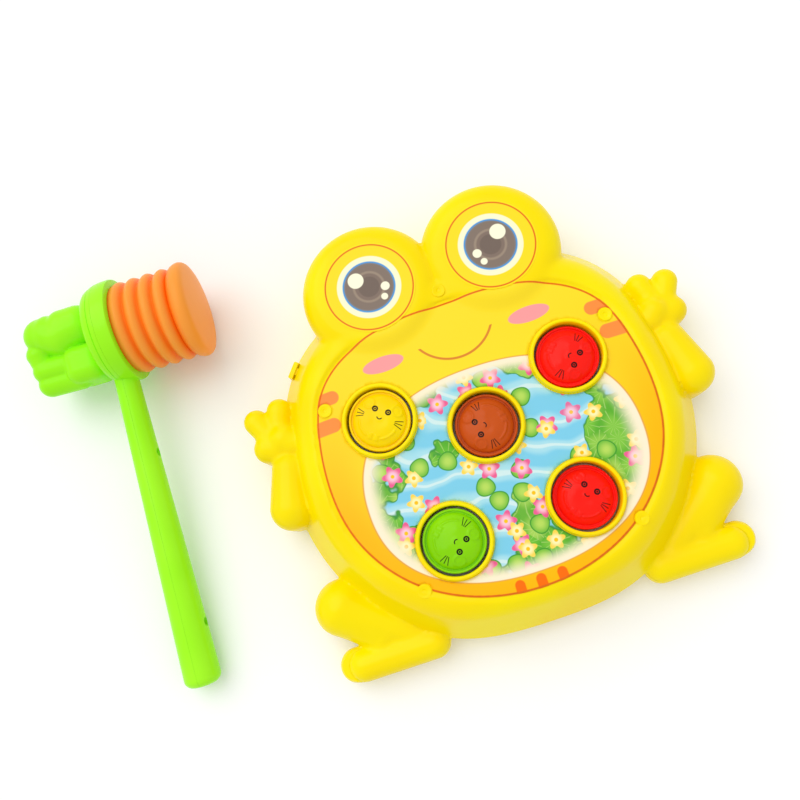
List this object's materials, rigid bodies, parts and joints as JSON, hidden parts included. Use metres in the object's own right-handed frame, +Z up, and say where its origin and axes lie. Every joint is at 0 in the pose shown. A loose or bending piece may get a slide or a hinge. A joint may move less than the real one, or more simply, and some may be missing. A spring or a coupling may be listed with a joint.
{
  "type": "mole pounding game",
  "caption": "Frog-shaped pounding game with round moles that rise from collars in its belly, and a squeaky hammer with a bellows head and a fist.",
  "frame": {"origin": "on the table, under the middle mole's axis", "axes": "+Z up, +Y from the belly towards the frog's eyes, +X to the right seen from above"},
  "size_m": [0.3524, 0.2508, 0.0585],
  "materials": {
    "yellow_shell": "glossy moulded plastic, slightly see-through at thin edges",
    "belly_print": null,
    "eye_print": "printed film, satin",
    "mole_yellow": "glossy moulded plastic",
    "mole_brown": "glossy moulded plastic",
    "mole_red": "glossy moulded plastic",
    "mole_green": "glossy moulded plastic",
    "mole_stem": "natural acetal",
    "steel": "plated steel",
    "brass": "turned brass",
    "rubber_feet": "moulded rubber",
    "cell_jacket": "plain shrink sleeve",
    "guide_plastic": "natural polystyrene",
    "gear_plastic": "natural acetal",
    "cam_plastic": "natural acetal",
    "board": "phenolic board",
    "components": "moulded epoxy",
    "speaker": "pressed steel and paper cone",
    "switch_body": "moulded nylon",
    "hammer_green": "glossy moulded plastic",
    "bellows_orange": "soft see-through vinyl",
    "squeaker": "moulded reed holder"
  },
  "bodies": {
    "frog": {"top_shell": "yellow_shell", "bottom_shell": "yellow_shell", "face_label": "belly_print", "eye_label_left": "eye_print", "eye_label_right": "eye_print", "shell_screws": "steel", "rubber_feet": "rubber_feet", "battery_door": "yellow_shell", "battery_door_screw": "steel", "battery_cells": "cell_jacket", "battery_contacts": "steel", "circuit_board": "board", "board_components": "components", "board_screws": "steel", "speaker": "speaker", "switch_body": "switch_body", "guide_plate": "guide_plastic", "guide_screws": "steel", "cam_axle": "steel", "gear_pins": "steel", "gear_bridge": "guide_plastic", "bridge_screws": "steel", "motor": "steel", "mole_spring_upper_left": "steel", "mole_spring_centre": "steel", "mole_spring_upper_right": "steel", "mole_spring_lower_left": "steel", "mole_spring_lower_right": "steel"},
    "mole_upper_left": {"mole_cap_upper_left": "mole_yellow", "mole_stem_upper_left": "mole_stem"},
    "mole_centre": {"mole_cap_centre": "mole_brown", "mole_stem_centre": "mole_stem"},
    "mole_upper_right": {"mole_cap_upper_right": "mole_red", "mole_stem_upper_right": "mole_stem"},
    "mole_lower_left": {"mole_cap_lower_left": "mole_green", "mole_stem_lower_left": "mole_stem"},
    "mole_lower_right": {"mole_cap_lower_right": "mole_red", "mole_stem_lower_right": "mole_stem"},
    "cam": {"cam_disc": "cam_plastic"},
    "second_gear": {"second_gear": "gear_plastic"},
    "first_gear": {"first_gear": "gear_plastic"},
    "motor_rotor": {"motor_shaft": "steel", "motor_pinion": "brass"},
    "switch": {"switch_knob": "yellow_shell"},
    "hammer": {"hammer_handle_front": "hammer_green", "hammer_handle_back": "hammer_green", "hammer_screws": "steel", "bellows": "bellows_orange", "squeaker": "squeaker", "fist_upper": "hammer_green", "fist_lower": "hammer_green"},
    "hammer_face": {"bellows_face": "bellows_orange"}
  },
  "joints": [
    {"name": "mole_upper_left_lift", "type": "slide", "parent": "frog", "child": "mole_upper_left", "axis": [0, 0, 1], "range_m": [0, 0.008], "stiffness_N_per_m": 60, "springref_m": -0.004, "deforming": ["mole_spring_upper_left"]},
    {"name": "mole_centre_lift", "type": "slide", "parent": "frog", "child": "mole_centre", "axis": [0, 0, 1], "range_m": [0, 0.008], "stiffness_N_per_m": 60, "springref_m": -0.004, "deforming": ["mole_spring_centre"]},
    {"name": "mole_upper_right_lift", "type": "slide", "parent": "frog", "child": "mole_upper_right", "axis": [0, 0, 1], "range_m": [0, 0.008], "stiffness_N_per_m": 60, "springref_m": -0.004, "deforming": ["mole_spring_upper_right"]},
    {"name": "mole_lower_left_lift", "type": "slide", "parent": "frog", "child": "mole_lower_left", "axis": [0, 0, 1], "range_m": [0, 0.008], "stiffness_N_per_m": 60, "springref_m": -0.004, "deforming": ["mole_spring_lower_left"]},
    {"name": "mole_lower_right_lift", "type": "slide", "parent": "frog", "child": "mole_lower_right", "axis": [0, 0, 1], "range_m": [0, 0.008], "stiffness_N_per_m": 60, "springref_m": -0.004, "deforming": ["mole_spring_lower_right"]},
    {"name": "cam_turn", "type": "hinge", "parent": "frog", "child": "cam", "pos_m": [0, -0.0047, 0.0065], "axis": [0, 0, 1], "continuous": true},
    {"name": "second_gear_turn", "type": "hinge", "parent": "frog", "child": "second_gear", "pos_m": [0.0692, -0.0047, 0.0065], "axis": [0, 0, 1], "continuous": true},
    {"name": "first_gear_turn", "type": "hinge", "parent": "frog", "child": "first_gear", "pos_m": [0.0798, -0.02306, 0.0147], "axis": [0, 0, 1], "continuous": true},
    {"name": "motor_turn", "type": "hinge", "parent": "frog", "child": "motor_rotor", "pos_m": [0.08503, -0.04257, 0.0177], "axis": [0, 0, 1], "continuous": true},
    {"name": "switch_slide", "type": "slide", "parent": "frog", "child": "switch", "axis": [-0.6303, -0.7764, 0], "range_m": [0, 0.004]},
    {"name": "hammer_lift", "type": "slide", "parent": "frog", "child": "hammer", "axis": [0, 0, 1], "range_m": [0, 0.3]},
    {"name": "bellows_squeeze", "type": "slide", "parent": "hammer", "child": "hammer_face", "axis": [-0.999, 0.0436, 0], "range_m": [0, 0.014], "stiffness_N_per_m": 400, "deforming": ["bellows"]}
  ],
  "couplings": [
    {"joint": "second_gear_turn", "follows": "cam_turn", "ratio": -10.5},
    {"joint": "first_gear_turn", "follows": "cam_turn", "ratio": 26.25},
    {"joint": "motor_turn", "follows": "cam_turn", "ratio": -78.75}
  ]
}
